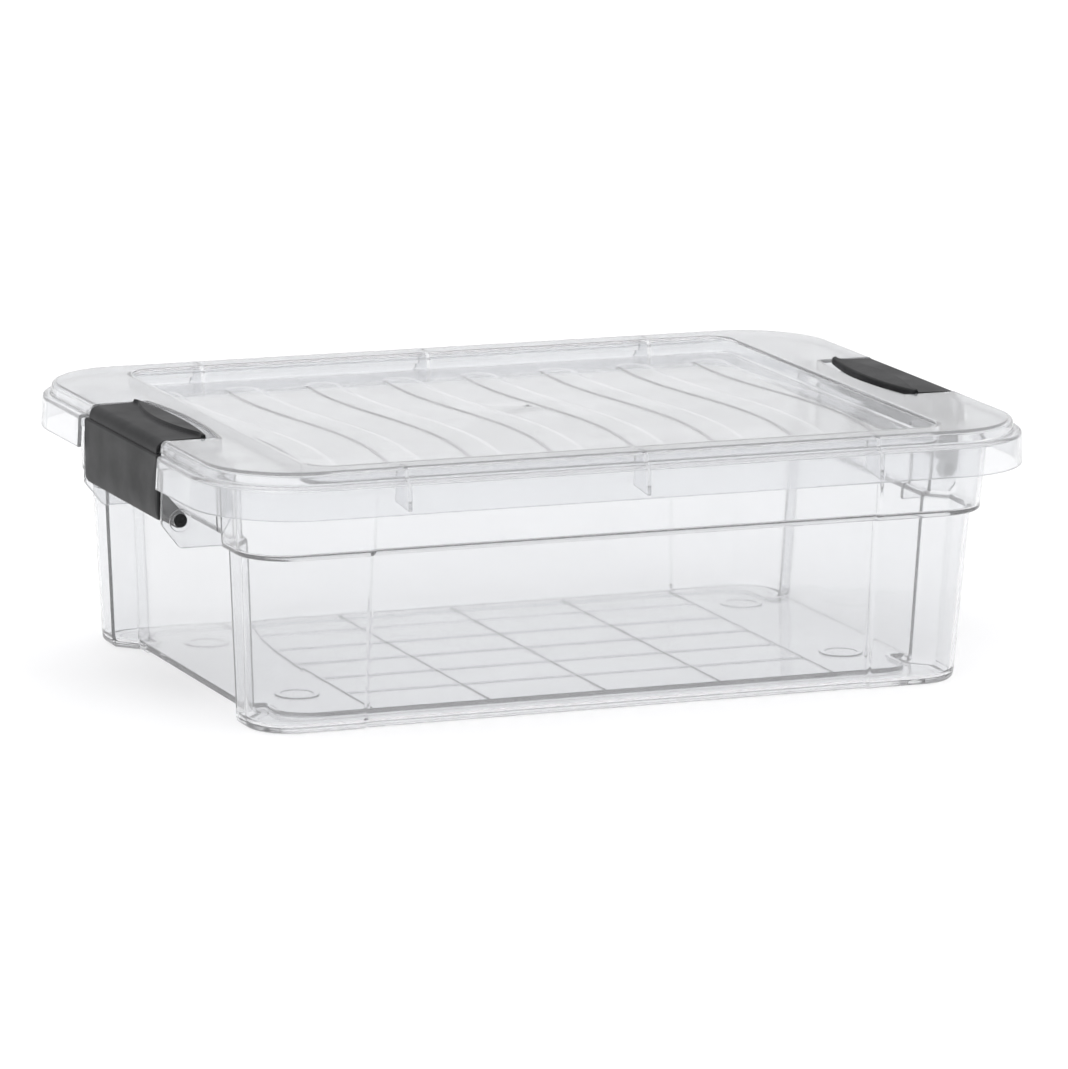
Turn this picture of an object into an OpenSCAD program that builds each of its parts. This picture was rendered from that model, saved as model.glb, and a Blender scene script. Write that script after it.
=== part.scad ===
// Stackable storage bin: a clear tub with a clear lid, held shut by two over-centre end latches.
// X runs along the bin, Y across it, Z up. The origin is on the ground below the bin's centre.

/* [Lid] */
// Length over the lid's skirt
lid_len = 430; // [424:1:440]
// Width over the lid's skirt
lid_wid = 301; // [297:1:311]
// Height of the lid's rim above the ground
rim_top = 131; // [130:0.5:134]
// Corner radius of the skirt
lid_r = 49; // [44:1:52]
// Thickness of the lid's skin
lid_skin = 2; // [1.6:0.1:2.2]
// Height of the skirt, from its lower edge to the ledge
skirt_h = 16.2; // [14:0.1:18]
// Width of the ledge between the skirt and the raised rim
ledge_w = 4.8; // [4:0.1:5.4]
// Depth of the middle panel below the rim
panel_depth = 8; // [7:0.1:8]
// Height of the wavy ribs on the panel
wave_h = 0.8; // [0.4:0.1:1.5]

/* [Tub] */
// Length of the tub at the ground
base_len = 370; // [364:1:376]
// Width of the tub at the ground
base_wid = 241; // [237:1:243]
// Height of the tub's upper edge
tub_h = 120.7; // [120:0.1:120.7]
// Thickness of the tub's wall
tub_wall = 2.2; // [1.8:0.1:2.6]
// Lean of the walls, in degrees from upright
draft = 3.1; // [2:0.1:3.4]
// Height of the step below the collar
step_z = 85.5; // [82:0.5:88]
// How far the collar stands out at the step
step_out = 3.5; // [2.5:0.1:4]
// Depth of the recess in the middle of each end wall
end_recess = 10; // [8:0.5:11]
// Height of the raised middle of the floor
plateau_h = 2.8; // [2:0.1:3.2]

/* [Latches] */
// Width of a latch's outer plate
latch_w = 104; // [98:1:104]
// Thickness of a latch's plate
latch_skin = 2.6; // [2:0.1:2.8]
// Radius of a latch's pivot stubs
pivot_r = 3.35; // [3:0.05:3.6]
// Gap around a pivot stub in its hole
pivot_gap = 0.05; // [0.02:0.01:0.1]
// Height of the pivots above the ground
pivot_z = 93.3; // [92:0.1:95]

/* [Hidden] */
eps = 0.01;
arc_steps = 12;
$fn = 48;

clear_plastic = [0.86, 0.88, 0.90, 0.45];
dark_plastic = [0.20, 0.205, 0.215];

// half sizes
skirt_x = lid_len / 2;
skirt_y = lid_wid / 2;
base_x = base_len / 2;
base_y = base_wid / 2;
lean = tan(draft);

// lid levels and outlines
ledge_z = rim_top - 6;
skirt_z = ledge_z - skirt_h;
panel_z = rim_top - panel_depth;
panel_under = panel_z - lid_skin;
rim_x = skirt_x - ledge_w;
rim_y = skirt_y - ledge_w;
panel_x = 163;
panel_y = 129.5;
panel_r = 12;

// pocket under each latch's tip, and the notch that the latch closes over
pocket_z = rim_top - 6.7;
pocket_out = rim_x - 4.7;
finger_gap = 5.5;
notch_in = skirt_x - 20;
notch_y = 49.5;
notch_wall = 2;
plate_slot_x = skirt_x - 9;
plate_slot_y = 56;

// gussets between the skirt and the tub's collar
gusset_pitch = 122;
gusset_t = 2;
gusset_in = base_y + step_out + lean * tub_h + 0.7;
gusset_z = skirt_z + 1.4;

// wavy ribs across the panel
wave_pitch = 42.4;
wave_count = 8;
wave_w = 20;
wave_y = 112;

// tub
post_y = 87;
post_slant = 10;
jog_x = 130;
jog = 1.5;
tub_r = 22;
foot_round = 3;
foot_w = 9;
floor_z = tub_wall + 0.2;
plateau_x = 163;
plateau_y = 98;
plateau_r = 14;
tongue_y = 70;
grid_h = 0.8;
grid_w = 1.4;
grid_x = 60.5;
grid_y = 33;
pad_r = 11;
pad_x = 144;
pad_y = 60;

// latch: u is the distance inwards from the outer face of its plate
plate_x = skirt_x - 2;
pivot_u = 10.5;
pivot_x = plate_x - pivot_u;
arm_t = 2.4;
arm_r = 4.2;
flange_u = 4.4;
hood_w = 96;
plate_top = ledge_z - 0.5;
hood_z = rim_top + 0.6;
tip_u = 31;
tip_end_u = 26.5;
lip_in = 16.5;
lip_h = 1.2;
rib_gap = 0.6;
rib_t = 2;

// ears that hold the pivots
ear_in = latch_w / 2 + 1;
ear_t = 3;
ear_top = tub_h - 2.7;
ear_x = plate_x - 1.4;
boss_r = 5.6;
boss_h = 0.8;

// Points of a quarter of an arc about c, from angle a
function arc(c, r, a, steps = arc_steps) =
    [for (i = [0 : steps]) [c[0] + r * cos(a + 90 * i / steps), c[1] + r * sin(a + 90 * i / steps)]];

// Outline of a rectangle with round corners, given by its half sizes
function round_rect(x, y, r) = concat(
    arc([x - r, y - r], r, 0), arc([r - x, y - r], r, 90),
    arc([r - x, r - y], r, 180), arc([x - r, r - y], r, 270));

function turn(points) = [for (p = points) [-p[0], -p[1]]];

// One half of the tub's outline, anticlockwise from the +X wall's recess to the -X end
function tub_half(x, y, r) = concat(
    [[x - end_recess, -post_y + post_slant], [x - end_recess, post_y - post_slant], [x, post_y]],
    arc([x - r, y - r], r, 0),
    [[jog_x + 2, y], [jog_x, y - jog], [-jog_x, y - jog], [-jog_x - 2, y]],
    arc([r - x, y - r], r, 90),
    [[-x, post_y]]);

// Outline of the tub's wall at height z, pulled in by inset
function tub_outline(z, out, inset) =
    let (grow = lean * z + out - inset,
         half = tub_half(base_x + grow, base_y + grow, tub_r - inset))
    concat(half, turn(half));

function raise(points, z) = [for (p = points) [p[0], p[1], z]];

// A closed skin through rings that all have the same number of points, back to the first ring
module hoop(rings) {
    n = len(rings[0]);
    faces = [for (k = [0 : len(rings) - 1]) for (i = [0 : n - 1])
        let (up = (k + 1) % len(rings), next = (i + 1) % n)
        [k * n + i, up * n + i, up * n + next, k * n + next]];
    polyhedron([for (ring = rings) each ring], faces, convexity = 6);
}

module slab(points, low, high) {
    translate([0, 0, low]) linear_extrude(high - low) polygon(points);
}

module both_ends() {
    children();
    mirror([1, 0, 0]) children();
}

module both_sides() {
    children();
    mirror([0, 1, 0]) children();
}

module rounded_slab(x, y, r, low, high) {
    slab(round_rect(x, y, r), low, high);
}

// ---- Tub ----

// The wall of the tub, from the foot that it stands on up to the rim and back down inside
module tub_side() {
    hoop([
        raise(tub_outline(0, 0, foot_round), 0),
        raise(tub_outline(0, 0, 0.3 * foot_round), 0.3 * foot_round),
        raise(tub_outline(foot_round, 0, 0), foot_round),
        raise(tub_outline(step_z, 0, 0), step_z),
        raise(tub_outline(step_z, step_out, 0), step_z + 0.6),
        raise(tub_outline(tub_h, step_out, 0), tub_h),
        raise(tub_outline(tub_h, step_out, tub_wall), tub_h),
        raise(tub_outline(step_z, step_out, tub_wall), step_z + tub_wall),
        raise(tub_outline(step_z, 0, tub_wall), step_z + tub_wall - 0.6),
        raise(tub_outline(floor_z, 0, tub_wall), floor_z + 2.4),
        raise(tub_outline(floor_z, 0, tub_wall + 1.8), floor_z + 0.2),
        raise(tub_outline(0, 0, foot_w), 0.6),
        raise(tub_outline(0, 0, foot_w), 0)]);
}

// The raised middle of the floor, with a tongue that runs to each recessed end wall
module plateau(low, high, grow) {
    rounded_slab(plateau_x + grow, plateau_y + grow, plateau_r, low, high);
    tongue_x = base_x - end_recess + (grow > 0 ? -tub_wall / 2 : 20);
    translate([-tongue_x, -tongue_y - grow, low])
        cube([2 * tongue_x, 2 * (tongue_y + grow), high - low]);
}

module floor_grid(low) {
    for (i = [-2 : 2])
        translate([i * grid_x - grid_w / 2, -3 * grid_y, low - 0.5])
            cube([grid_w, 6 * grid_y, grid_h + 0.5]);
    for (j = [-2 : 2])
        translate([-2 * grid_x, j * grid_y - grid_w / 2, low - 0.5])
            cube([4 * grid_x, grid_w, grid_h + 0.5]);
}

// Middle of the recessed end wall at height z
function mid_wall(z, out) = base_x - end_recess + out + lean * z - tub_wall / 2;

module ear() {
    low = pivot_z - 13.8;
    rotate([90, 0, 0]) translate([0, 0, ear_in])
        linear_extrude(ear_t)
            polygon([[mid_wall(low, 0), low], [pivot_x - 0.5, low],
                [ear_x, pivot_z - 2], [ear_x, ear_top], [mid_wall(ear_top, step_out), ear_top],
                [mid_wall(step_z + 2, step_out), step_z + 2], [mid_wall(step_z, 0), step_z + 1]]);
    translate([pivot_x, -ear_in - ear_t / 2, pivot_z])
        rotate([90, 0, 0]) cylinder(r = boss_r, h = boss_h + ear_t / 2);
}

module ear_hole() {
    translate([pivot_x, -ear_in + 1, pivot_z])
        rotate([90, 0, 0]) cylinder(r = pivot_r + pivot_gap, h = ear_t + boss_h + 2);
}

module tub() {
    top = floor_z + plateau_h;
    color(clear_plastic) difference() {
        union() {
            tub_side();
            slab(tub_outline(0, 0, tub_wall + 2), 0.4, floor_z);
            plateau(1.5, top, tub_wall);
            floor_grid(top);
            both_ends() both_sides() {
                translate([pad_x, pad_y, top - 0.5]) cylinder(r = pad_r, h = grid_h + 0.5);
                ear();
            }
        }
        plateau(-1, plateau_h, 0);
        both_ends() both_sides() ear_hole();
    }
}

// ---- Lid ----

module gusset(x) {
    ledge_in = ledge_z - lid_skin / 2;
    rim_in = rim_top - lid_skin / 2;
    translate([x - gusset_t / 2, 0, 0]) rotate([90, 0, 90]) linear_extrude(gusset_t)
        polygon([[gusset_in, gusset_z + 2], [skirt_y - 0.5, gusset_z], [skirt_y - 0.5, ledge_in],
            [rim_y - 1, ledge_in], [rim_y - 1, rim_in], [gusset_in, rim_in]]);
}

module wave_rib(x) {
    translate([x, 0, 0]) rounded_slab(wave_w / 2, wave_y, wave_w / 2 - 0.1, panel_z - 0.5, panel_z + wave_h);
}

// Block that carries the pocket's floor and walls, grown by the skin. Its inner wall follows the
// latch's tip at the finger gap.
module pocket(grow, low, high) {
    half = notch_y + grow;
    inner = [for (i = [8 : -1 : -8]) let (y = half * i / 8)
        [plate_x - tip_u_at(y) - finger_gap - grow, y]];
    slab(concat(inner, [[pocket_out + grow, -half], [pocket_out + grow, half]]), low, high);
}

// Room that the latch closes through, grown by the thickness of its side walls. It is wider at the
// plate, below the ledge.
module notch(grow, low) {
    translate([notch_in - grow, -notch_y - grow, low])
        cube([skirt_x, 2 * (notch_y + grow), rim_top + 1 - low]);
    translate([plate_slot_x - grow, -plate_slot_y - grow, low])
        cube([skirt_x, 2 * (plate_slot_y + grow), ledge_z + grow - low]);
}

module lid_outside() {
    rounded_slab(skirt_x, skirt_y, lid_r, skirt_z, ledge_z);
    rounded_slab(rim_x, rim_y, lid_r - ledge_w, ledge_z - eps, rim_top);
}

module lid_underside() {
    difference() {
        union() {
            rounded_slab(skirt_x - lid_skin, skirt_y - lid_skin, lid_r - lid_skin,
                skirt_z - 1, ledge_z - lid_skin);
            rounded_slab(rim_x - lid_skin, rim_y - lid_skin, lid_r - ledge_w - lid_skin,
                skirt_z - 1, rim_top - lid_skin);
        }
        rounded_slab(panel_x + lid_skin, panel_y + lid_skin, panel_r + lid_skin, panel_under, rim_top);
        both_ends() {
            pocket(lid_skin, pocket_z - lid_skin - 1.3, rim_top);
            notch(notch_wall, ledge_z - lid_skin - 4);
        }
    }
}

module lid() {
    color(clear_plastic) difference() {
        union() {
            difference() {
                lid_outside();
                lid_underside();
                rounded_slab(panel_x, panel_y, panel_r, panel_z, rim_top + 1);
            }
            both_sides() for (i = [-1 : 1]) gusset(i * gusset_pitch);
            for (i = [0 : wave_count - 1]) wave_rib((i - (wave_count - 1) / 2) * wave_pitch);
        }
        both_ends() {
            pocket(0, pocket_z, rim_top + 1);
            notch(0, skirt_z - 1);
        }
    }
}

// ---- Latches ----

// Section of the plate and hood, in u and z
plate_section = [
    [1.4, 92.6], [0.5, 96.5], [0, 102], [0, plate_top], [1.2, plate_top], [1.6, 127.4], [2.9, 129.3],
    [5, 130.5], [9, 131], [tip_u, hood_z],
    [tip_u, 127.4], [tip_u - 2, 127.4], [tip_u - 4, 129.2], [8, 129.2], [5.8, 128.6], [4.4, 127],
    [3.9, 124.6], [latch_skin, 122], [latch_skin, 97], [3.4, 92.6]];

// Inner edge of the hood, seen from above: a shallow arc between its two ends
function tip_u_at(y) =
    let (rise = tip_u - tip_end_u, r = (pow(hood_w / 2, 2) + pow(rise, 2)) / (2 * rise))
    tip_u - r + sqrt(r * r - y * y);

function tip_arc() = [for (i = [-8 : 8]) let (y = hood_w / 2 * i / 8) [tip_u_at(y), y]];

// Outer edge of the raised lip, which bows away from the tip
function lip_arc() = [for (i = [7 : -1 : -7]) let (t = i / 8)
    [lip_in + (tip_end_u - lip_in) * t * t, hood_w / 2 * t]];

module section_bar(width, section) {
    translate([0, width / 2, 0]) rotate([90, 0, 0]) linear_extrude(width) polygon(section);
}

module hood() {
    intersection() {
        section_bar(hood_w, plate_section);
        slab(concat([[-1, hood_w / 2], [-1, -hood_w / 2]], tip_arc()), plate_top - 1, rim_top + 5);
    }
    slab(concat(tip_arc(), lip_arc()), hood_z - 1.2, hood_z + lip_h);
}

module plate() {
    intersection() {
        section_bar(latch_w, plate_section);
        translate([-1, -latch_w, 90]) cube([6, 2 * latch_w, plate_top - 90]);
    }
}

// Inner rib that presses on the lid
module hood_rib(y) {
    foot = pocket_z + rib_gap;
    translate([0, y + rib_t / 2, 0]) rotate([90, 0, 0]) linear_extrude(rib_t)
        polygon([[1.6, plate_top - 2], [8, 127.6], [22, foot], [tip_end_u + 0.5, foot],
            [tip_end_u + 0.5, 129.6], [8, 129.6], [5, 128.8], [2.4, 126.5]]);
}

// Flange along the plate's end, with a short arm to the pivot
module arm(y) {
    translate([0, y + arm_t / 2, 0]) rotate([90, 0, 0]) linear_extrude(arm_t)
        polygon(concat([[1, 94.5], [flange_u - 1, 92.8]],
            [for (i = [0 : 10]) let (a = -100 + 160 * i / 10)
                [pivot_u + arm_r * cos(a), pivot_z + arm_r * sin(a)]],
            [[flange_u, 106], [flange_u, 116], [latch_skin, 119], [0.6, 119]]));
}

module trunnion() {
    translate([pivot_u, -latch_w / 2 + arm_t / 2, pivot_z]) rotate([90, 0, 0])
        cylinder(r = pivot_r, h = ear_in + ear_t + boss_h - latch_w / 2 + arm_t / 2);
}

// A latch at the -X end
module latch() {
    color(dark_plastic) translate([-plate_x, 0, 0]) {
        hood();
        plate();
        both_sides() {
            arm(-latch_w / 2 + arm_t / 2);
            trunnion();
            hood_rib(16);
        }
    }
}

module latch_left() {
    latch();
}

module latch_right() {
    mirror([1, 0, 0]) latch();
}

tub();
lid();
latch_left();
latch_right();
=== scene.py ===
"""Looks of the stackable storage bin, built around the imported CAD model.

Shapes are worked out in millimetres in the frame of the CAD model and turned into metres as their
meshes are made. The tub, the lid and each latch are one closed mesh each.
"""
import math

import bpy
import bmesh
from mathutils import Matrix, Vector
from mathutils.geometry import delaunay_2d_cdt


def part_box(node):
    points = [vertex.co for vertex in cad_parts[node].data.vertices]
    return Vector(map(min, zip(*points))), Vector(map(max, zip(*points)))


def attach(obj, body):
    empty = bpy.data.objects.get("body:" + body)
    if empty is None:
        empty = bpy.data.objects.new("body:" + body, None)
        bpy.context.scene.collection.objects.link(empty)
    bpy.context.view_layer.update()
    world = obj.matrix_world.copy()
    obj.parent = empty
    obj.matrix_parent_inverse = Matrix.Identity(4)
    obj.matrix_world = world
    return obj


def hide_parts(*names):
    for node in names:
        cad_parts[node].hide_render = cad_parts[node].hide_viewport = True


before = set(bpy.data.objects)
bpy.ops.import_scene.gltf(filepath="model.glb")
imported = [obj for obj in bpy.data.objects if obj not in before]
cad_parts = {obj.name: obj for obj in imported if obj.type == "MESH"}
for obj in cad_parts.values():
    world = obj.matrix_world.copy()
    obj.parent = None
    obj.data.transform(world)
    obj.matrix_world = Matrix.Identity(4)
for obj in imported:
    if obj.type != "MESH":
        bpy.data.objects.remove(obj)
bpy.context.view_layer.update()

MM = 0.001


def corners_mm(node):
    """Lowest and highest corner of a CAD node, in millimetres."""
    low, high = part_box(node)
    return low / MM, high / MM


# ---- Sizes, in millimetres ----

tub_high = corners_mm("tub")[1]
lid_low, lid_high = corners_mm("lid")
latch_low, latch_high = corners_mm("latch_left")

# Lid: its skirt, the ledge, the raised rim and the sunken panel
SKIRT_X = lid_high.x
SKIRT_Y = lid_high.y
SKIRT_R = 49
SKIRT_LOW = lid_low.z
RIM_TOP = lid_high.z
LEDGE_Z = RIM_TOP - 6
LEDGE_W = 4.8
RIM_ROUND = 2.8
SKIN = 2
PANEL_Z = RIM_TOP - 8
PANEL_X = 163
PANEL_Y = 129.5
PANEL_R = 12
GUSSET_PITCH = 122
GUSSET_HALF = 1
GUSSET_IN = 131.3
GUSSET_LOW = SKIRT_LOW + 1.4
BURIED = 1.2

# Pocket under a latch's tip, and the notch that the latch closes over
POCKET_OUT = SKIRT_X - LEDGE_W - 4.7
POCKET_Z = RIM_TOP - 6.7
FINGER_GAP = 5.5
NOTCH_IN = SKIRT_X - 20
NOTCH_Y = 49.5
NOTCH_LOW = LEDGE_Z - SKIN - 4
SLOT_IN = SKIRT_X - 9
SLOT_Y = 56

# Wavy ribs of the panel
WAVE_COUNT = 8
WAVE_PITCH = 42.4
WAVE_HALF = 10
WAVE_END = 112
WAVE_H = 0.17
SWAY = 7
SWAY_MID = 17
SWAY_SPAN = 122
GATE_X = 7
GATE_Y = 18

# Tub
BASE_X = 185
BASE_Y = 120.5
LEAN = math.tan(math.radians(3.1))
TUB_H = tub_high.z
WALL = 2.2
STEP_Z = 85.5
STEP_OUT = 3.5
TUB_R = 22
RECESS = 10
POST_Y = 87
SLANT = 10
JOG_X = 130
JOG = 1.5
FOOT_ROUND = 3
FOOT_W = 9
FLOOR_Z = WALL + 0.2
FLOOR_UNDER = 0.4
HALF_SLANT = math.radians(22.5)
PLATEAU_X = 163
PLATEAU_Y = 98
PLATEAU_R = 14
PLATEAU_H = 2.8
TONGUE_Y = 70
GRID_X = 60.5
GRID_Y = 33
GRID_W = 1.4
GRID_H = 0.8
PAD_X = 144
PAD_Y = 60
PAD_R = 11

# Latches: u is the distance inwards from the outer face of a latch's plate
PLATE_X = -latch_low.x
PLATE_LOW = 92.6
PLATE_TOP = LEDGE_Z - 0.5
PLATE_HALF = 52
PLATE_T = 2.6
PLATE_EDGE = 1.0
CURL_TOP = 103
CURL = 1.4
PIVOT_U = 10.5
PIVOT_X = PLATE_X - PIVOT_U
PIVOT_Z = 93.3
STUB_R = 3.35
STUB_END = latch_high.y
HOLE_R = 3.4
HOOD_HALF = 48
HOOD_Z = RIM_TOP + 0.6
LIP_TOP = latch_high.z
TIP_U = 31
TIP_END_U = 26.5
CREASE_U = 18
ARM_T = 2.4
ARM_R = 4.2
FLANGE_U = 4.4
ARM_TOP = 106
FLANGE_LOW = 92.8
FLANGE_BEND = 116
FLANGE_TOP = 119
HOOD_UNDER = RIM_TOP - 1.9
HOOD_OUT = 1.2
HOOD_IN = 3.9
HOOD_ROOT = PLATE_TOP - 1.6
ELBOW_U = 7.4
ELBOW_Z = 126
RIB_Y = 16
RIB_HALF = 1
RIB_GAP = 0.6
EAR_IN = 53
EAR_T = 3
EAR_X = PLATE_X - 1.4
EAR_LOW = PIVOT_Z - 13.8
EAR_TOP = TUB_H - 2.7
BOSS_R = 5.6

ARC_STEPS = 6
CORNER_STEPS = 20
SHARP_ANGLE = math.radians(32)
NOISE_LOW = 0.3
NOISE_HIGH = 0.7


# ---- Outlines and profiles: lists of 2D points ----


def rounded(corners, radii, steps=ARC_STEPS, closed=True):
    """The points of an outline or open profile whose corners are rounded by their radii."""
    points = []
    count = len(corners)
    for i, (corner, radius) in enumerate(zip(corners, radii)):
        here = Vector(corner)
        ends = not closed and i in (0, count - 1)
        if radius <= 0 or ends:
            points.append(here)
            continue
        back = (Vector(corners[i - 1]) - here).normalized()
        ahead = (Vector(corners[(i + 1) % count]) - here).normalized()
        half = back.angle(ahead) / 2
        reach = radius / math.tan(half)
        centre = here + (back + ahead).normalized() * (radius / math.sin(half))
        start = here + back * reach - centre
        turn = start.angle_signed(here + ahead * reach - centre)
        for k in range(steps + 1):
            points.append(centre + Matrix.Rotation(-turn * k / steps, 2) @ start)
    return points


def round_rect(x, y, r, steps=CORNER_STEPS):
    """Anticlockwise outline of a rectangle with round corners, given by its half sizes."""
    return rounded([(x, -y), (x, y), (-x, y), (-x, -y)], [r] * 4, steps)


def circle(x, y, r, steps=48):
    angles = [2 * math.pi * k / steps for k in range(steps)]
    return [Vector((x + r * math.cos(a), y + r * math.sin(a))) for a in angles]


def inset(points, distance):
    """An anticlockwise outline moved inwards by a small distance."""
    moved = []
    count = len(points)
    for i, here in enumerate(points):
        before = (here - points[i - 1]).normalized()
        after = (points[(i + 1) % count] - here).normalized()
        normal = Vector((-before.y - after.y, before.x + after.x)).normalized()
        stretch = max(0.5, math.sqrt(max(0.0, (1 + before.dot(after)) / 2)))
        moved.append(here + normal * (distance / stretch))
    return moved


def at_height(points, z):
    return [Vector((p.x, p.y, z)) for p in points]


# ---- Meshes ----


def new_object(name, points, faces):
    """A closed mesh object from points in millimetres."""
    mesh = bpy.data.meshes.new(name)
    mesh.from_pydata([p * MM for p in points], [], faces)
    work = bmesh.new()
    work.from_mesh(mesh)
    bmesh.ops.recalc_face_normals(work, faces=work.faces)
    work.to_mesh(mesh)
    work.free()
    piece = bpy.data.objects.new(name, mesh)
    bpy.context.scene.collection.objects.link(piece)
    return piece


def ring_faces(ring_count, size):
    """Quads between rings that follow each other in a list of points."""
    faces = []
    for k in range(ring_count - 1):
        for i in range(size):
            after = (i + 1) % size
            low, high = k * size, (k + 1) * size
            faces.append((low + i, low + after, high + after, high + i))
    return faces


def fill_ring(points, first, size, inside):
    """Triangles that fill a ring of the points by way of inside points, which it adds to them."""
    flat = [p.to_2d() for p in points[first:first + size] + inside]
    found, _, triangles, sources, _, _ = delaunay_2d_cdt(flat, [], [list(range(size))], 1, 1e-4)
    level = points[first].z
    places = []
    for p, source in zip(found, sources):
        if source and source[0] < size:
            places.append(first + source[0])
        else:
            places.append(len(points))
            points.append(Vector((p.x, p.y, inside[source[0] - size].z if source else level)))
    return [tuple(places[k] for k in triangle) for triangle in triangles]


def loft(name, rings):
    """A closed skin through rings of the same number of points, with a flat cap at both ends."""
    size = len(rings[0])
    points = [p for ring in rings for p in ring]
    faces = ring_faces(len(rings), size)
    faces.append(tuple(range(size)))
    faces.append(tuple(range((len(rings) - 1) * size, len(rings) * size)))
    return new_object(name, points, faces)


def prism(name, outline, low, high, edge=0.0, place=None, steps=3):
    """An outline raised from low to high with rounded edges; place moves its points."""
    turns = [math.radians(90)]
    if edge:
        turns = [math.radians(90) * k / steps for k in range(steps + 1)]
    levels = [(edge * (1 - math.sin(a)), low + edge * (1 - math.cos(a))) for a in turns]
    levels += [(edge * (1 - math.sin(a)), high - edge * (1 - math.cos(a))) for a in reversed(turns)]
    rings = [at_height(inset(outline, distance), z) for distance, z in levels]
    if place:
        rings = [[place(p) for p in ring] for ring in rings]
    return loft(name, rings)


def on_side(p):
    """Turns outline points (x, z) at height y into points of the frame."""
    return Vector((p.x, p.z, p.y))


def on_end(p):
    """Turns outline points (y, z) at height x into points of the frame."""
    return Vector((p.z, p.x, p.y))


def flipped(piece, axis):
    """A mirrored copy of a piece, across the plane through the origin that axis is square to."""
    copy = bpy.data.objects.new(piece.name, piece.data.copy())
    bpy.context.scene.collection.objects.link(copy)
    scale = Vector((-1, 1, 1)) if axis == "x" else Vector((1, -1, 1))
    copy.data.transform(Matrix.Diagonal(scale.to_4d()))
    copy.data.flip_normals()
    return copy


def four_corners(piece):
    """The piece with its mirror images in all four quarters."""
    opposite = flipped(piece, "y")
    return [piece, opposite, flipped(piece, "x"), flipped(opposite, "x")]


def both_sides(piece):
    return [piece, flipped(piece, "y")]


def both_ends(piece):
    return [piece, flipped(piece, "x")]


def combine(base, parts, operation):
    """Unites base with parts, or cuts them out of it, and removes them."""
    for part in parts:
        step = base.modifiers.new("combine", "BOOLEAN")
        step.operation = operation
        step.solver = "MANIFOLD"
        step.object = part
    graph = bpy.context.evaluated_depsgraph_get()
    mesh = bpy.data.meshes.new_from_object(base.evaluated_get(graph))
    base.modifiers.clear()
    base.data = mesh
    for part in parts:
        bpy.data.objects.remove(part)
    return base


def finish_piece(piece, body, material, name):
    """Smooth shading with crisp edges, and the piece's place in the frame."""
    piece.name = name
    piece.data.name = name
    piece.data.materials.clear()
    piece.data.materials.append(material)
    piece.data.shade_smooth()
    piece.data.set_sharp_from_angle(angle=SHARP_ANGLE)
    normals = piece.modifiers.new("even_normals", "WEIGHTED_NORMAL")
    normals.mode = "FACE_AREA"
    normals.weight = 80
    normals.keep_sharp = True
    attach(piece, body)
    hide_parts(body)


# ---- Tub ----


def tub_half(x, y, distance):
    """Half the tub's outline, from one end's recess round to the other end.

    It gives the corners, and the radius and steps of the bend at each.
    """
    shift = distance * math.tan(HALF_SLANT)
    low, high = POST_Y - SLANT + shift, POST_Y + shift
    convex = (max(0.8, 3 - distance), 4)
    concave = (1.5 + distance, 4)
    corner = (TUB_R - distance, 16)
    bend = (2, 4)
    corners = [
        (x - RECESS, -low), (x - RECESS, low), (x, high), (x, y), (JOG_X + 2, y),
        (JOG_X, y - JOG), (-JOG_X, y - JOG), (-JOG_X - 2, y), (-x, y), (-x, high)]
    return corners, [concave, concave, convex, corner, bend, bend, bend, bend, corner, convex]


def tub_outline(z, out, distance):
    """The tub's outline at height z, standing out or pulled in by a distance."""
    grow = LEAN * z + out - distance
    corners, bends = tub_half(BASE_X + grow, BASE_Y + grow, distance)
    corners = corners + [(-x, -y) for x, y in corners]
    points = []
    for i, (radius, steps) in enumerate(bends * 2):
        three = [corners[i - 1], corners[i], corners[(i + 1) % len(corners)]]
        points += rounded(three, [0, radius, 0], steps, closed=False)[1:-1]
    return points


def tub_profile():
    """Offset and height of the tub's skin, from under the foot over the rim to the floor."""
    outside = rounded(
        [(-FOOT_W, 0), (0, 0), (0, STEP_Z), (STEP_OUT, STEP_Z), (STEP_OUT, TUB_H),
         (STEP_OUT - WALL / 2, TUB_H)],
        [0, FOOT_ROUND, 1.0, 1.8, 0.8, 0], closed=False)
    step_in = STEP_Z + WALL
    inside = rounded(
        [(STEP_OUT - WALL / 2, TUB_H), (STEP_OUT - WALL, TUB_H), (STEP_OUT - WALL, step_in),
         (-WALL, step_in), (-WALL, FLOOR_Z), (-WALL - 5, FLOOR_Z)],
        [0, 0.8, 1.0, 1.8, 4, 0], closed=False)
    return outside + inside[1:]


def tub_ring(offset, z, inner):
    """A ring of the skin at an offset from the leaning wall line.

    inner is the wall's thickness on the inside, and 0 on the outside.
    """
    out = max(0.0, offset + inner)
    return at_height(tub_outline(z, out, out - offset), z)


def tub_shell():
    """The tub's skin as one closed mesh. Its rim's round edge is measured from the outer face."""
    profile = tub_profile()
    edge_low = TUB_H - 0.9
    top = max(range(len(profile)), key=lambda i: (profile[i].y, -i))
    rings = [at_height(tub_outline(0, 0, FOOT_W + 0.6), FLOOR_UNDER)]
    for i, p in enumerate(profile):
        inner = WALL if i > top else 0.0
        if p.y >= edge_low:
            rings.append(at_height(tub_outline(p.y, STEP_OUT, STEP_OUT - p.x), p.y))
        else:
            rings.append(tub_ring(p.x, p.y, inner))
    return loft("tub", rings)


def plateau_outline(grow, tongue_x):
    """The raised middle of the floor, with a tongue to each recessed end wall."""
    x, y, t = PLATEAU_X + grow, PLATEAU_Y + grow, TONGUE_Y + grow
    quarter = [(tongue_x, t), (x, t), (x, y)]
    radii = [0, 4 - grow, PLATEAU_R + grow]
    corners = quarter + [(-a, b) for a, b in reversed(quarter)]
    corners += [(-a, -b) for a, b in corners]
    return rounded(corners, (radii + radii[::-1]) * 2, 8)


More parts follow.
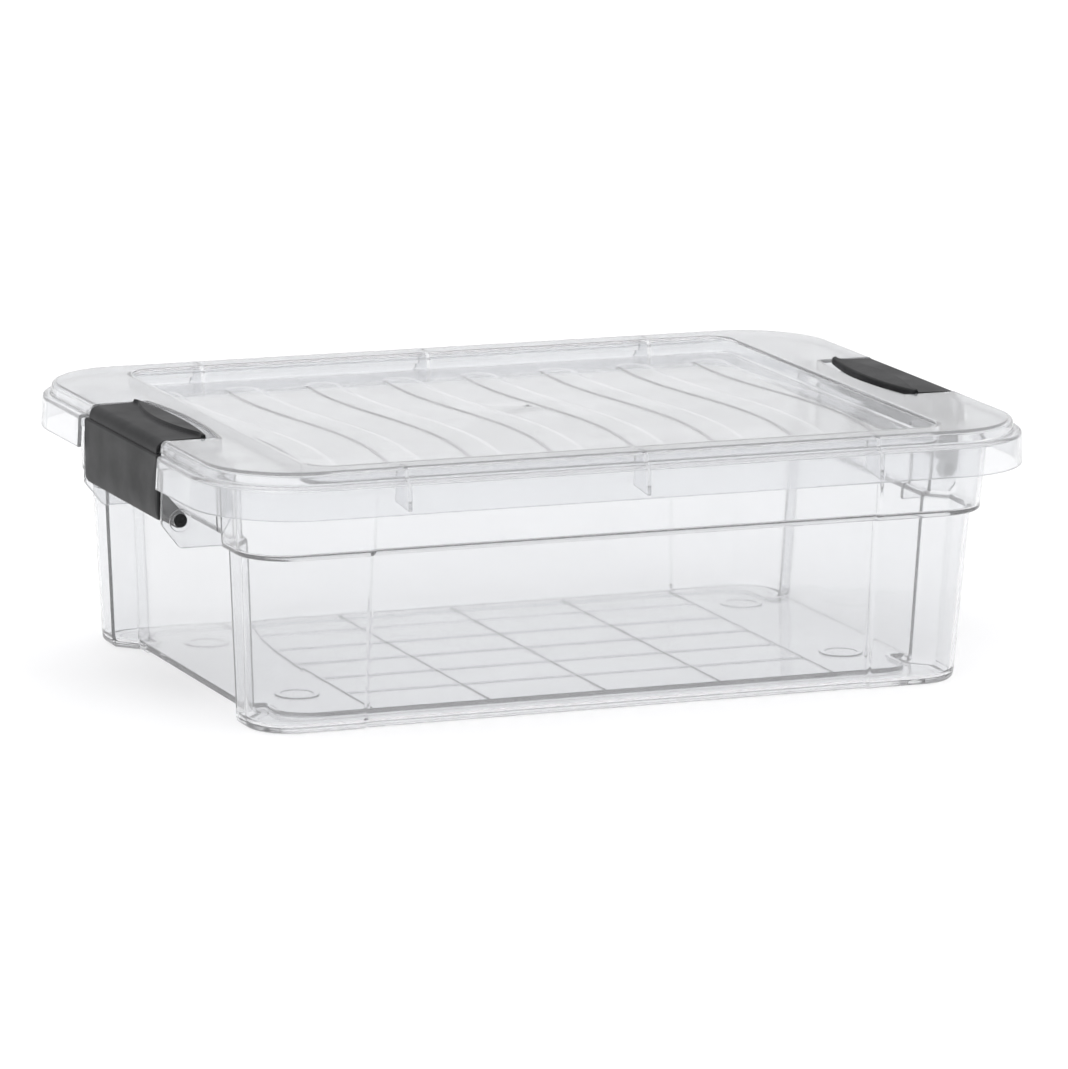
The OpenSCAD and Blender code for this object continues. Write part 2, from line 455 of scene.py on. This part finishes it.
def plateau(low, high, grow, tongue_x, edge):
    """A block of the plateau's outline whose upper edge is rounded inwards."""
    corners = [(grow, low), (grow, high), (grow - 2 * edge, high)]
    section = rounded(corners, [0, edge, 0], closed=False)
    return loft("plateau", [at_height(plateau_outline(p.x, tongue_x), p.y) for p in section[:-1]])


def floor_bar(x_half, y_half, x, y, low):
    """A low rib with round ends, centred at x and y."""
    outline = [p + Vector((x, y)) for p in round_rect(x_half, y_half, GRID_W / 2 - 0.05, 4)]
    return prism("bar", outline, low - 0.6, low + GRID_H, edge=0.35)


def floor_bars(low):
    """The ribs along and across the floor."""
    across = [floor_bar(GRID_W / 2, 3 * GRID_Y, i * GRID_X, 0, low) for i in range(-2, 3)]
    along = [floor_bar(2 * GRID_X, GRID_W / 2, 0, j * GRID_Y, low) for j in range(-2, 3)]
    return across + along


def mid_wall(z, out):
    """X of the middle of the recessed end wall's thickness."""
    return BASE_X - RECESS + out + LEAN * z - WALL / 2


def ear():
    """The pierced plate beside a latch that holds one of its pivots, with a ring round the hole."""
    corners = [
        (mid_wall(EAR_LOW, 0), EAR_LOW), (PIVOT_X - 0.5, EAR_LOW), (EAR_X, PIVOT_Z - 2),
        (EAR_X, EAR_TOP), (mid_wall(EAR_TOP, STEP_OUT), EAR_TOP),
        (mid_wall(STEP_Z + 3, STEP_OUT), STEP_Z + 3), (mid_wall(STEP_Z, 0), STEP_Z)]
    outline = rounded(corners, [0, 2.5, 4, 2, 0, 0, 0])
    web = prism("ear", outline, -EAR_IN - EAR_T, -EAR_IN, edge=0.5, place=on_side)
    boss = prism("boss", circle(PIVOT_X, PIVOT_Z, BOSS_R), -STUB_END, -EAR_IN - EAR_T / 2,
                 edge=0.45, place=on_side)
    return combine(web, [boss], "UNION")


def ear_hole():
    return prism("hole", circle(PIVOT_X, PIVOT_Z, HOLE_R), -STUB_END - 1, -EAR_IN + 1, place=on_side)


def floor_pad(top):
    """A round pad near each corner of the floor, dished in the middle."""
    pad = prism("pad", circle(PAD_X, PAD_Y, PAD_R), top - 0.6, top + GRID_H, edge=0.4)
    dish = prism("dish", circle(PAD_X, PAD_Y, PAD_R - 3), top + 0.35, top + 2, edge=0.3)
    return combine(pad, [dish], "DIFFERENCE")


def make_tub():
    top = FLOOR_Z + PLATEAU_H
    tub = tub_shell()
    wall_x = BASE_X - RECESS - WALL / 2
    raised = plateau(low=1.5, high=top, grow=WALL, tongue_x=wall_x, edge=1.5)
    under = plateau(low=-1, high=PLATEAU_H, grow=0, tongue_x=BASE_X + 10, edge=1.2)
    combine(tub, [raised] + floor_bars(top) + four_corners(floor_pad(top)), "UNION")
    combine(tub, four_corners(ear()), "UNION")
    return combine(tub, [under] + four_corners(ear_hole()), "DIFFERENCE")


# ---- Lid ----


def skirt_ring(offset, z):
    """A ring that lies a distance inside the skirt's outer face."""
    return at_height(round_rect(SKIRT_X - offset, SKIRT_Y - offset, SKIRT_R - offset), z)


def panel_ring(grow, z):
    """A ring that lies a distance outside the sunken panel's edge."""
    return at_height(round_rect(PANEL_X + grow, PANEL_Y + grow, PANEL_R + grow), z)


def skin_rings():
    """Rings of the lid's skin, from the panel over the rim, round the skirt and back underneath.

    The end points on the rim only give the profiles their direction, and make no ring.
    """
    rim_from_panel, rim_from_skirt = 6, 12
    over = rounded(
        [(-3, PANEL_Z), (0.2, PANEL_Z), (0.9, RIM_TOP), (rim_from_panel, RIM_TOP)],
        [0, 1.5, 1.2, 0], closed=False)
    outside = rounded(
        [(rim_from_skirt, RIM_TOP), (LEDGE_W + 0.2, RIM_TOP), (LEDGE_W, LEDGE_Z), (0.7, LEDGE_Z),
         (0, SKIRT_LOW), (SKIN / 2, SKIRT_LOW)],
        [0, RIM_ROUND, 0.8, 1.6, 0.6, 0], closed=False)
    inside = rounded(
        [(SKIN / 2, SKIRT_LOW), (SKIN, SKIRT_LOW), (SKIN + 0.6, LEDGE_Z - SKIN),
         (SKIN + LEDGE_W, LEDGE_Z - SKIN), (SKIN + LEDGE_W + 0.2, RIM_TOP - SKIN),
         (rim_from_skirt, RIM_TOP - SKIN)],
        [0, 0.6, 0.7, 0.6, 0.8, 0], closed=False)
    under = rounded(
        [(rim_from_panel, RIM_TOP - SKIN), (SKIN + 0.9, RIM_TOP - SKIN),
         (SKIN + 0.2, PANEL_Z - SKIN), (-3, PANEL_Z - SKIN)],
        [0, 0.6, 2.0, 0], closed=False)
    rings = [panel_ring(p.x, p.y) for p in over[:-1]]
    rings += [skirt_ring(p.x, p.y) for p in outside[1:] + inside[1:-1]]
    return rings + [panel_ring(p.x, p.y) for p in under[1:]]


def sway(y):
    """How far a wavy rib's middle line lies from its place, at y."""
    return -SWAY * math.sin(math.pi * (y - SWAY_MID) / SWAY_SPAN)


def wave_outline(x, half, steps=44):
    """A ring round a wavy rib, half its own width from the rib's middle line."""
    end = WAVE_END - WAVE_HALF
    side = [end - 2 * end * k / steps for k in range(steps + 1)]
    left = [Vector((x + sway(y) - half, y)) for y in side]
    right = [Vector((x + sway(y) + half, y)) for y in reversed(side)]
    turns = [math.pi * k / 12 for k in range(1, 12)]
    low = [Vector((x + sway(-end) - half * math.cos(a), -end - half * math.sin(a))) for a in turns]
    high = [Vector((x + sway(end) + half * math.cos(a), end + half * math.sin(a))) for a in turns]
    return left + low + right + high


def smooth_step(t):
    """0 to 1, level at both ends."""
    t = min(1.0, max(0.0, t))
    return t * t * (3 - 2 * t)


def panel_points():
    """Points of the wavy ribs and the small gate mark, raised above the panel."""
    points = []
    ring_halves = (10, 9.3, 8.6, 7.9, 7.2, 6.5, 4, 1.5)
    gate_rings = ((2.4, 0), (2.0, 0.25), (1.5, 0.3), (0.9, 0.2), (0.7, 0.6), (0.1, 0.7))
    shoulder, crown = 3.5, 0.12
    for i in range(WAVE_COUNT):
        x = (i - (WAVE_COUNT - 1) / 2) * WAVE_PITCH
        for half in ring_halves:
            rise = smooth_step((WAVE_HALF - half) / shoulder)
            height = WAVE_H * (rise - crown * (half / WAVE_HALF) ** 2)
            points += at_height(wave_outline(x, half), PANEL_Z + max(0.0, height))
    for radius, height in gate_rings:
        points += at_height(circle(GATE_X, GATE_Y, radius, 16), PANEL_Z + WAVE_H + height)
    return points


def lid_shell():
    """The lid's skin as one closed mesh, with the wavy ribs in its panel."""
    rings = skin_rings()
    size = len(rings[0])
    points = [p for ring in rings for p in ring]
    faces = ring_faces(len(rings), size)
    faces.append(tuple(range((len(rings) - 1) * size, len(rings) * size)))
    faces += fill_ring(points, 0, size, panel_points())
    return new_object("lid", points, faces)


def pocket_outline(grow):
    """The pocket's outline: its inner wall follows the latch's tip at the finger gap."""
    half, steps = NOTCH_Y + grow, 12
    rows = [half * k / steps for k in range(steps, -steps - 1, -1)]
    inner = [Vector((PLATE_X - tip_at(y) - FINGER_GAP - grow, y)) for y in rows]
    return inner + [Vector((POCKET_OUT + grow, -half)), Vector((POCKET_OUT + grow, half))]


def pocket_loft(name, section, radii):
    """A block of the pocket's outline: the section gives how far it grows at each height."""
    profile = rounded(section, radii, closed=False)
    return loft(name, [at_height(pocket_outline(p.x), p.y) for p in profile])


def pocket_tray():
    """The block under the rim that holds the pocket's floor and walls."""
    low = PANEL_Z - SKIN
    return pocket_loft("tray", [(-4, low), (SKIN, low), (SKIN, RIM_TOP - 1.3)], [0, 1.5, 0])


def pocket_cut():
    """The hollow of the pocket, with a round edge at the rim."""
    section = [
        (-4, POCKET_Z), (-0.2, POCKET_Z), (0.1, RIM_TOP), (1.2, RIM_TOP), (1.4, RIM_TOP + 2)]
    return pocket_loft("pocket", section, [0, 1.2, 0.9, 0, 0])


def cross_block(name, corners, half):
    """A block across the lid, given by its corners in x and z and half its width."""
    return prism(name, [Vector(corner) for corner in corners], -half, half, place=on_side)


def notch_blocks():
    """The blocks that the notch's walls are cut from: one to the rim, a wider one to the ledge."""
    inside = SKIRT_X - LEDGE_W - BURIED
    back, slot_back = NOTCH_IN - SKIN, SLOT_IN - SKIN
    rim_block = [(back, NOTCH_LOW), (inside, NOTCH_LOW), (inside, RIM_TOP - 1), (back, RIM_TOP - 1)]
    slot_block = [
        (slot_back, NOTCH_LOW), (SKIRT_X - 1.2, NOTCH_LOW), (SKIRT_X - 1.6, LEDGE_Z - 1.2),
        (inside, LEDGE_Z - 0.8), (inside, LEDGE_Z + SKIN), (slot_back, LEDGE_Z + SKIN)]
    return both_ends(cross_block("rim_block", rim_block, NOTCH_Y + SKIN)) + both_ends(
        cross_block("slot_block", slot_block, SLOT_Y + SKIN))


def notch_cuts():
    """The notch through the rim and the wider slot below the ledge, open at the lid's end."""
    half = 30
    deep = [p + Vector((NOTCH_IN + half, 0)) for p in round_rect(half, NOTCH_Y, 1.5, 4)]
    wide = [p + Vector((SLOT_IN + half, 0)) for p in round_rect(half, SLOT_Y, 1.0, 4)]
    low = SKIRT_LOW - 2
    return both_ends(prism("notch", deep, low, RIM_TOP + 2)) + both_ends(
        prism("slot", wide, low - 0.5, LEDGE_Z + 0.4))


def gusset(x):
    """A thin web between the skirt and the tub's collar."""
    corners = [
        (-SKIRT_Y + 1, GUSSET_LOW), (-GUSSET_IN, GUSSET_LOW + 2), (-GUSSET_IN, RIM_TOP - 1),
        (-SKIRT_Y + LEDGE_W + BURIED, RIM_TOP - 1), (-SKIRT_Y + LEDGE_W + BURIED, LEDGE_Z - 0.8),
        (-SKIRT_Y + 1.4, LEDGE_Z - 1.2)]
    outline = rounded(corners, [0, 1, 0, 0, 0, 0])
    return prism("gusset", outline, x - GUSSET_HALF, x + GUSSET_HALF, edge=0.25, place=on_end)


def make_lid():
    lid = lid_shell()
    combine(lid, both_ends(pocket_tray()), "UNION")
    parts = notch_blocks()
    for i in (-1, 0, 1):
        parts += both_sides(gusset(i * GUSSET_PITCH))
    combine(lid, parts, "UNION")
    return combine(lid, both_ends(pocket_cut()) + notch_cuts(), "DIFFERENCE")


# ---- Latches ----


def tip_at(y):
    """Distance u of the hood's arched inner edge, at y."""
    rise = TIP_U - TIP_END_U
    radius = (HOOD_HALF ** 2 + rise ** 2) / (2 * rise)
    return TIP_U - radius + math.sqrt(radius ** 2 - y ** 2)


def hood_section(y):
    """The hood's section at y, in u and z: round outer edge, crease, raised pad and hooked tip."""
    lens = max(0.04, 1 - (y / HOOD_HALF) ** 2)
    tip = tip_at(y)
    crease = min(TIP_END_U + (CREASE_U - TIP_END_U) * lens, tip - 2.6)
    flat = HOOD_Z - 0.4
    fall = 0.4 + 0.5 * lens
    low = RIM_TOP - 2.1 - 1.2 * lens
    corners = [
        (HOOD_OUT, HOOD_ROOT), (HOOD_OUT, HOOD_Z - 1), (crease - 0.4, flat),
        (crease + 0.4, LIP_TOP), (tip - 0.2, LIP_TOP - fall), (tip, low), (tip - 1.6, low),
        (tip - 3.4, HOOD_UNDER), (ELBOW_U, HOOD_UNDER), (HOOD_IN, ELBOW_Z), (HOOD_IN, HOOD_ROOT)]
    return rounded(corners, [0, 5, 0.5, 0.3, 1.0, 0.5, 0.3, 0.6, 2.5, 1.5, 0], 5)


def hood():
    """The part that hooks over the lid, as a loft along Y with rounded ends."""
    steps, edge = 36, 0.6
    spread = [HOOD_HALF * math.sin(math.pi * k / steps - math.pi / 2) for k in range(1, steps)]
    middle = [(y, 0.0) for y in spread if abs(y) < HOOD_HALF - edge - 0.05]
    turns = [math.radians(30 * k) for k in range(3)]
    end = [(HOOD_HALF - edge * (1 - math.cos(a)), edge * (1 - math.sin(a))) for a in turns]
    places = sorted([(-y, distance) for y, distance in end] + middle + end)
    rings = []
    for y, distance in places:
        section = inset(hood_section(y)[::-1], distance)
        rings.append([Vector((-PLATE_X + p.x, y, p.y)) for p in section])
    return loft("hood", rings)


def plate():
    """The outer plate: its lower edge curls inwards and its edges are rounded."""
    outline = rounded(
        [(-PLATE_HALF, PLATE_LOW), (PLATE_HALF, PLATE_LOW), (PLATE_HALF, PLATE_TOP),
         (-PLATE_HALF, PLATE_TOP)], [3.2, 3.2, 1.8, 1.8])
    turns = [math.radians(30 * k) for k in range(4)]
    levels = [(PLATE_EDGE * (1 - math.sin(a)), PLATE_EDGE * (1 - math.cos(a))) for a in turns]
    levels += [(distance, PLATE_T - u) for distance, u in reversed(levels)]
    rings = [at_height(inset(outline, distance), u) for distance, u in levels]
    size = len(outline)
    faces = ring_faces(len(rings), size)
    points = [p for ring in rings for p in ring]
    rows, columns = 9, range(-49, 50, 7)
    heights = [PLATE_LOW + 1.5 + (CURL_TOP - PLATE_LOW) * k / rows for k in range(rows + 1)]
    for first in (0, (len(rings) - 1) * size):
        level = points[first].z
        inside = [Vector((y, z, level)) for z in heights for y in columns]
        faces += fill_ring(points, first, size, inside)
    curled = []
    for p in points:
        below = max(0.0, CURL_TOP - p.y) / (CURL_TOP - PLATE_LOW)
        curled.append(Vector((-PLATE_X + p.z + CURL * below ** 2, p.x, p.y)))
    return new_object("plate", curled, faces)


def latch_web(name, points, low, high, edge=0.0):
    """A flat web across the latch, given by its points in u and z."""
    outline = [Vector((-PLATE_X + u, z)) for u, z in points]
    return prism(name, outline, low, high, edge=edge, place=on_side)


def hood_rib():
    """An inner rib of the hood, which ends just above the pocket's floor."""
    foot = POCKET_Z + RIB_GAP
    inner = TIP_END_U - 0.5
    points = [
        (1.9, PLATE_TOP - 2), (8, 127.6), (22, foot), (inner, foot), (inner, 129.6), (8, 129.8),
        (5, 128.6), (2.4, 126.5)]
    return latch_web("rib", points, RIB_Y - RIB_HALF, RIB_Y + RIB_HALF)


def arm():
    """The flange along the plate's end, with a short arm to the pivot."""
    turns = [math.radians(-100 + 10 * k) for k in range(17)]
    points = [(1, 94.5), (FLANGE_U - 1, FLANGE_LOW)]
    points += [(PIVOT_U + ARM_R * math.cos(a), PIVOT_Z + ARM_R * math.sin(a)) for a in turns]
    points += [
        (FLANGE_U, ARM_TOP), (FLANGE_U, FLANGE_BEND), (PLATE_T, FLANGE_TOP), (0.9, FLANGE_TOP)]
    return latch_web("arm", points, -PLATE_HALF, -PLATE_HALF + ARM_T, edge=0.3)


def stub():
    """A pivot's stub, with a dimple in its end."""
    centre = (-PLATE_X + PIVOT_U, PIVOT_Z)
    pin = prism("stub", circle(*centre, STUB_R), -STUB_END, -PLATE_HALF + 1.2, edge=0.5,
                place=on_side)
    dimple = prism("dimple", circle(*centre, 1.5, 24), -STUB_END - 1, -STUB_END + 0.6,
                   place=on_side)
    return combine(pin, [dimple], "DIFFERENCE")


def make_latch():
    """The latch at the left end. The right one is its mirror image."""
    latch = plate()
    parts = [hood()] + both_sides(hood_rib()) + both_sides(arm()) + both_sides(stub())
    return combine(latch, parts, "UNION")


# ---- Materials ----


class Nodes:
    """Short calls for building a material's nodes."""

    def __init__(self, name):
        self.material = bpy.data.materials.new(name)
        self.material.use_nodes = True
        self.tree = self.material.node_tree
        self.shader = self.tree.nodes["Principled BSDF"]
        self.output = self.tree.nodes["Material Output"]
        self.place = self.add("ShaderNodeTexCoord").outputs["Object"]

    def add(self, kind, **settings):
        node = self.tree.nodes.new(kind)
        for key, value in settings.items():
            setattr(node, key, value)
        return node

    def link(self, source, target):
        self.tree.links.new(source, target)

    def noise(self, scale, detail=3.0, stretch=None):
        """A noise pattern; scale is in features per metre."""
        node = self.add("ShaderNodeTexNoise")
        node.inputs["Scale"].default_value = scale
        node.inputs["Detail"].default_value = detail
        source = self.place
        if stretch:
            mapping = self.add("ShaderNodeMapping")
            mapping.inputs["Scale"].default_value = stretch
            self.link(source, mapping.inputs["Vector"])
            source = mapping.outputs["Vector"]
        self.link(source, node.inputs["Vector"])
        return node.outputs["Fac"]

    def spread(self, source, low, high):
        """The pattern spread between two values."""
        node = self.add("ShaderNodeMapRange")
        node.inputs["From Min"].default_value = NOISE_LOW
        node.inputs["From Max"].default_value = NOISE_HIGH
        node.inputs["To Min"].default_value = low
        node.inputs["To Max"].default_value = high
        self.link(source, node.inputs["Value"])
        return node.outputs["Result"]

    def colours(self, source, first, second):
        """The pattern as a mix of two colours."""
        node = self.add("ShaderNodeValToRGB")
        node.color_ramp.elements[0].position = NOISE_LOW
        node.color_ramp.elements[0].color = (*first, 1)
        node.color_ramp.elements[1].position = NOISE_HIGH
        node.color_ramp.elements[1].color = (*second, 1)
        self.link(source, node.inputs["Fac"])
        return node.outputs["Color"]

    def bump(self, source, strength, distance, before=None):
        """Fine relief from the pattern, on top of an earlier one; distance is in metres."""
        node = self.add("ShaderNodeBump")
        node.inputs["Strength"].default_value = strength
        node.inputs["Distance"].default_value = distance
        self.link(source, node.inputs["Height"])
        if before:
            self.link(before, node.inputs["Normal"])
        return node.outputs["Normal"]


def clear_plastic(name, low, high, smooth, rough, clearness, flow):
    """Slightly milky moulded plastic: faint flow lines, uneven gloss, and light let through."""
    n = Nodes(name)
    n.link(n.colours(n.noise(scale=9, detail=4), low, high), n.shader.inputs["Base Color"])
    n.link(n.spread(n.noise(scale=60, detail=5), smooth, rough), n.shader.inputs["Roughness"])
    n.shader.inputs["IOR"].default_value = 1.49
    n.shader.inputs["Transmission Weight"].default_value = clearness
    waves = n.bump(n.noise(scale=14, detail=2, stretch=flow), strength=0.35, distance=0.0006)
    grain = n.bump(n.noise(scale=900, detail=2), strength=0.04, distance=0.00005, before=waves)
    n.link(grain, n.shader.inputs["Normal"])
    clear = n.add("ShaderNodeBsdfTransparent")
    clear.inputs["Color"].default_value = (0.994, 0.991, 0.992, 1)
    path = n.add("ShaderNodeLightPath")
    mix = n.add("ShaderNodeMixShader")
    n.link(path.outputs["Is Shadow Ray"], mix.inputs["Fac"])
    n.link(n.shader.outputs["BSDF"], mix.inputs[1])
    n.link(clear.outputs["BSDF"], mix.inputs[2])
    n.link(mix.outputs["Shader"], n.output.inputs["Surface"])
    return n.material


def latch_plastic():
    """Dark grey plastic with a fine moulded texture and slightly uneven sheen."""
    n = Nodes("latch_plastic")
    dark, light = (0.0060, 0.0062, 0.0070), (0.0105, 0.0108, 0.0118)
    n.link(n.colours(n.noise(scale=700, detail=4), dark, light), n.shader.inputs["Base Color"])
    sheen = n.spread(n.noise(scale=45, detail=4), low=0.40, high=0.52)
    n.link(sheen, n.shader.inputs["Roughness"])
    n.shader.inputs["Specular IOR Level"].default_value = 0.26
    broad = n.bump(n.noise(scale=120, detail=2), strength=0.06, distance=0.0004)
    fine = n.bump(n.noise(scale=1900, detail=3), strength=0.35, distance=0.00009, before=broad)
    n.link(fine, n.shader.inputs["Normal"])
    return n.material


def floor_material():
    """Nearly even matt white paint."""
    n = Nodes("floor_paint")
    darker, lighter = (0.90, 0.90, 0.90), (0.915, 0.915, 0.915)
    n.link(n.colours(n.noise(scale=3, detail=3), darker, lighter), n.shader.inputs["Base Color"])
    sheen = n.spread(n.noise(scale=20, detail=3), low=0.75, high=0.85)
    n.link(sheen, n.shader.inputs["Roughness"])
    n.shader.inputs["Specular IOR Level"].default_value = 0.1
    return n.material


# ---- Studio ----


def make_floor():
    """A wide floor just under the feet, in metres."""
    half, drop = 16.0, 0.0002
    mesh = bpy.data.meshes.new("floor")
    mesh.from_pydata([(-half, -half, 0), (half, -half, 0), (half, half, 0), (-half, half, 0)], [],
                     [(0, 1, 2, 3)])
    floor = bpy.data.objects.new("floor", mesh)
    bpy.context.scene.collection.objects.link(floor)
    floor.location.z = -drop
    mesh.materials.append(floor_material())


def make_light():
    """One broad, even light from high above, leaning a little towards the camera."""
    beam = Vector((0.25, 0.35, -1))
    light = bpy.data.lights.new("softbox", "SUN")
    light.energy = 1.3
    light.angle = math.radians(70)
    lamp = bpy.data.objects.new("softbox", light)
    bpy.context.scene.collection.objects.link(lamp)
    lamp.rotation_euler = beam.to_track_quat("-Z", "Y").to_euler()


def make_world():
    """A soft surround: light grey at the horizon and below, brighter overhead."""
    world = bpy.data.worlds.new("surround")
    bpy.context.scene.world = world
    world.use_nodes = True
    tree = world.node_tree
    place = tree.nodes.new("ShaderNodeTexCoord")
    split = tree.nodes.new("ShaderNodeSeparateXYZ")
    ramp = tree.nodes.new("ShaderNodeValToRGB")
    tree.links.new(place.outputs["Generated"], split.inputs["Vector"])
    tree.links.new(split.outputs["Z"], ramp.inputs["Fac"])
    tree.links.new(ramp.outputs["Color"], tree.nodes["Background"].inputs["Color"])
    levels = ((0.0, 0.70), (0.12, 0.76), (0.45, 0.84), (1.0, 0.94))
    elements = ramp.color_ramp.elements
    while len(elements) < len(levels):
        elements.new(0.5)
    for element, (position, level) in zip(elements, levels):
        element.position = position
        element.color = (level, level, level * 1.01, 1)


def make_camera():
    """The camera: where it looks, how far off it stands, and its lens."""
    look = Vector((3.98, 0, 61.97)) * MM
    distance, azimuth, elevation, roll = 3.70885, -22.922, 11.65, 0.9
    a, e, r = (math.radians(v) for v in (azimuth, elevation, roll))
    back = Vector((math.sin(a) * math.cos(e), -math.cos(a) * math.cos(e), math.sin(e)))
    right = (-back).cross(Vector((0, 0, 1))).normalized()
    up = right.cross(-back)
    side = right * math.cos(r) + up * math.sin(r)
    top = up * math.cos(r) - right * math.sin(r)
    lens = bpy.data.cameras.new("camera")
    lens.sensor_width = 36
    lens.lens = 253.1
    lens.clip_end = 100
    camera = bpy.data.objects.new("camera", lens)
    bpy.context.scene.collection.objects.link(camera)
    turn = Matrix((side, top, back)).transposed().to_4x4()
    camera.matrix_world = Matrix.Translation(look + back * distance) @ turn
    bpy.context.scene.camera = camera


make_camera()
make_world()
make_floor()
make_light()
bpy.context.scene.view_settings.view_transform = "Standard"
bpy.context.scene.cycles.max_bounces = 24
bpy.context.scene.cycles.transmission_bounces = 24
bpy.context.scene.cycles.transparent_max_bounces = 32

tub_plastic = clear_plastic(
    "tub_plastic", low=(0.866, 0.871, 0.879), high=(0.877, 0.882, 0.890), smooth=0.025, rough=0.06,
    clearness=0.94, flow=(1, 1, 0.4))
lid_plastic = clear_plastic(
    "lid_plastic", low=(0.850, 0.856, 0.866), high=(0.863, 0.869, 0.879), smooth=0.05, rough=0.10,
    clearness=0.905, flow=(0.5, 1, 1))
grey_plastic = latch_plastic()

left_latch = make_latch()
right_latch = flipped(left_latch, "x")
finish_piece(make_tub(), "tub", tub_plastic, "tub_shell")
finish_piece(make_lid(), "lid", lid_plastic, "lid_shell")
finish_piece(left_latch, "latch_left", grey_plastic, "latch_left_hook")
finish_piece(right_latch, "latch_right", grey_plastic, "latch_right_hook")
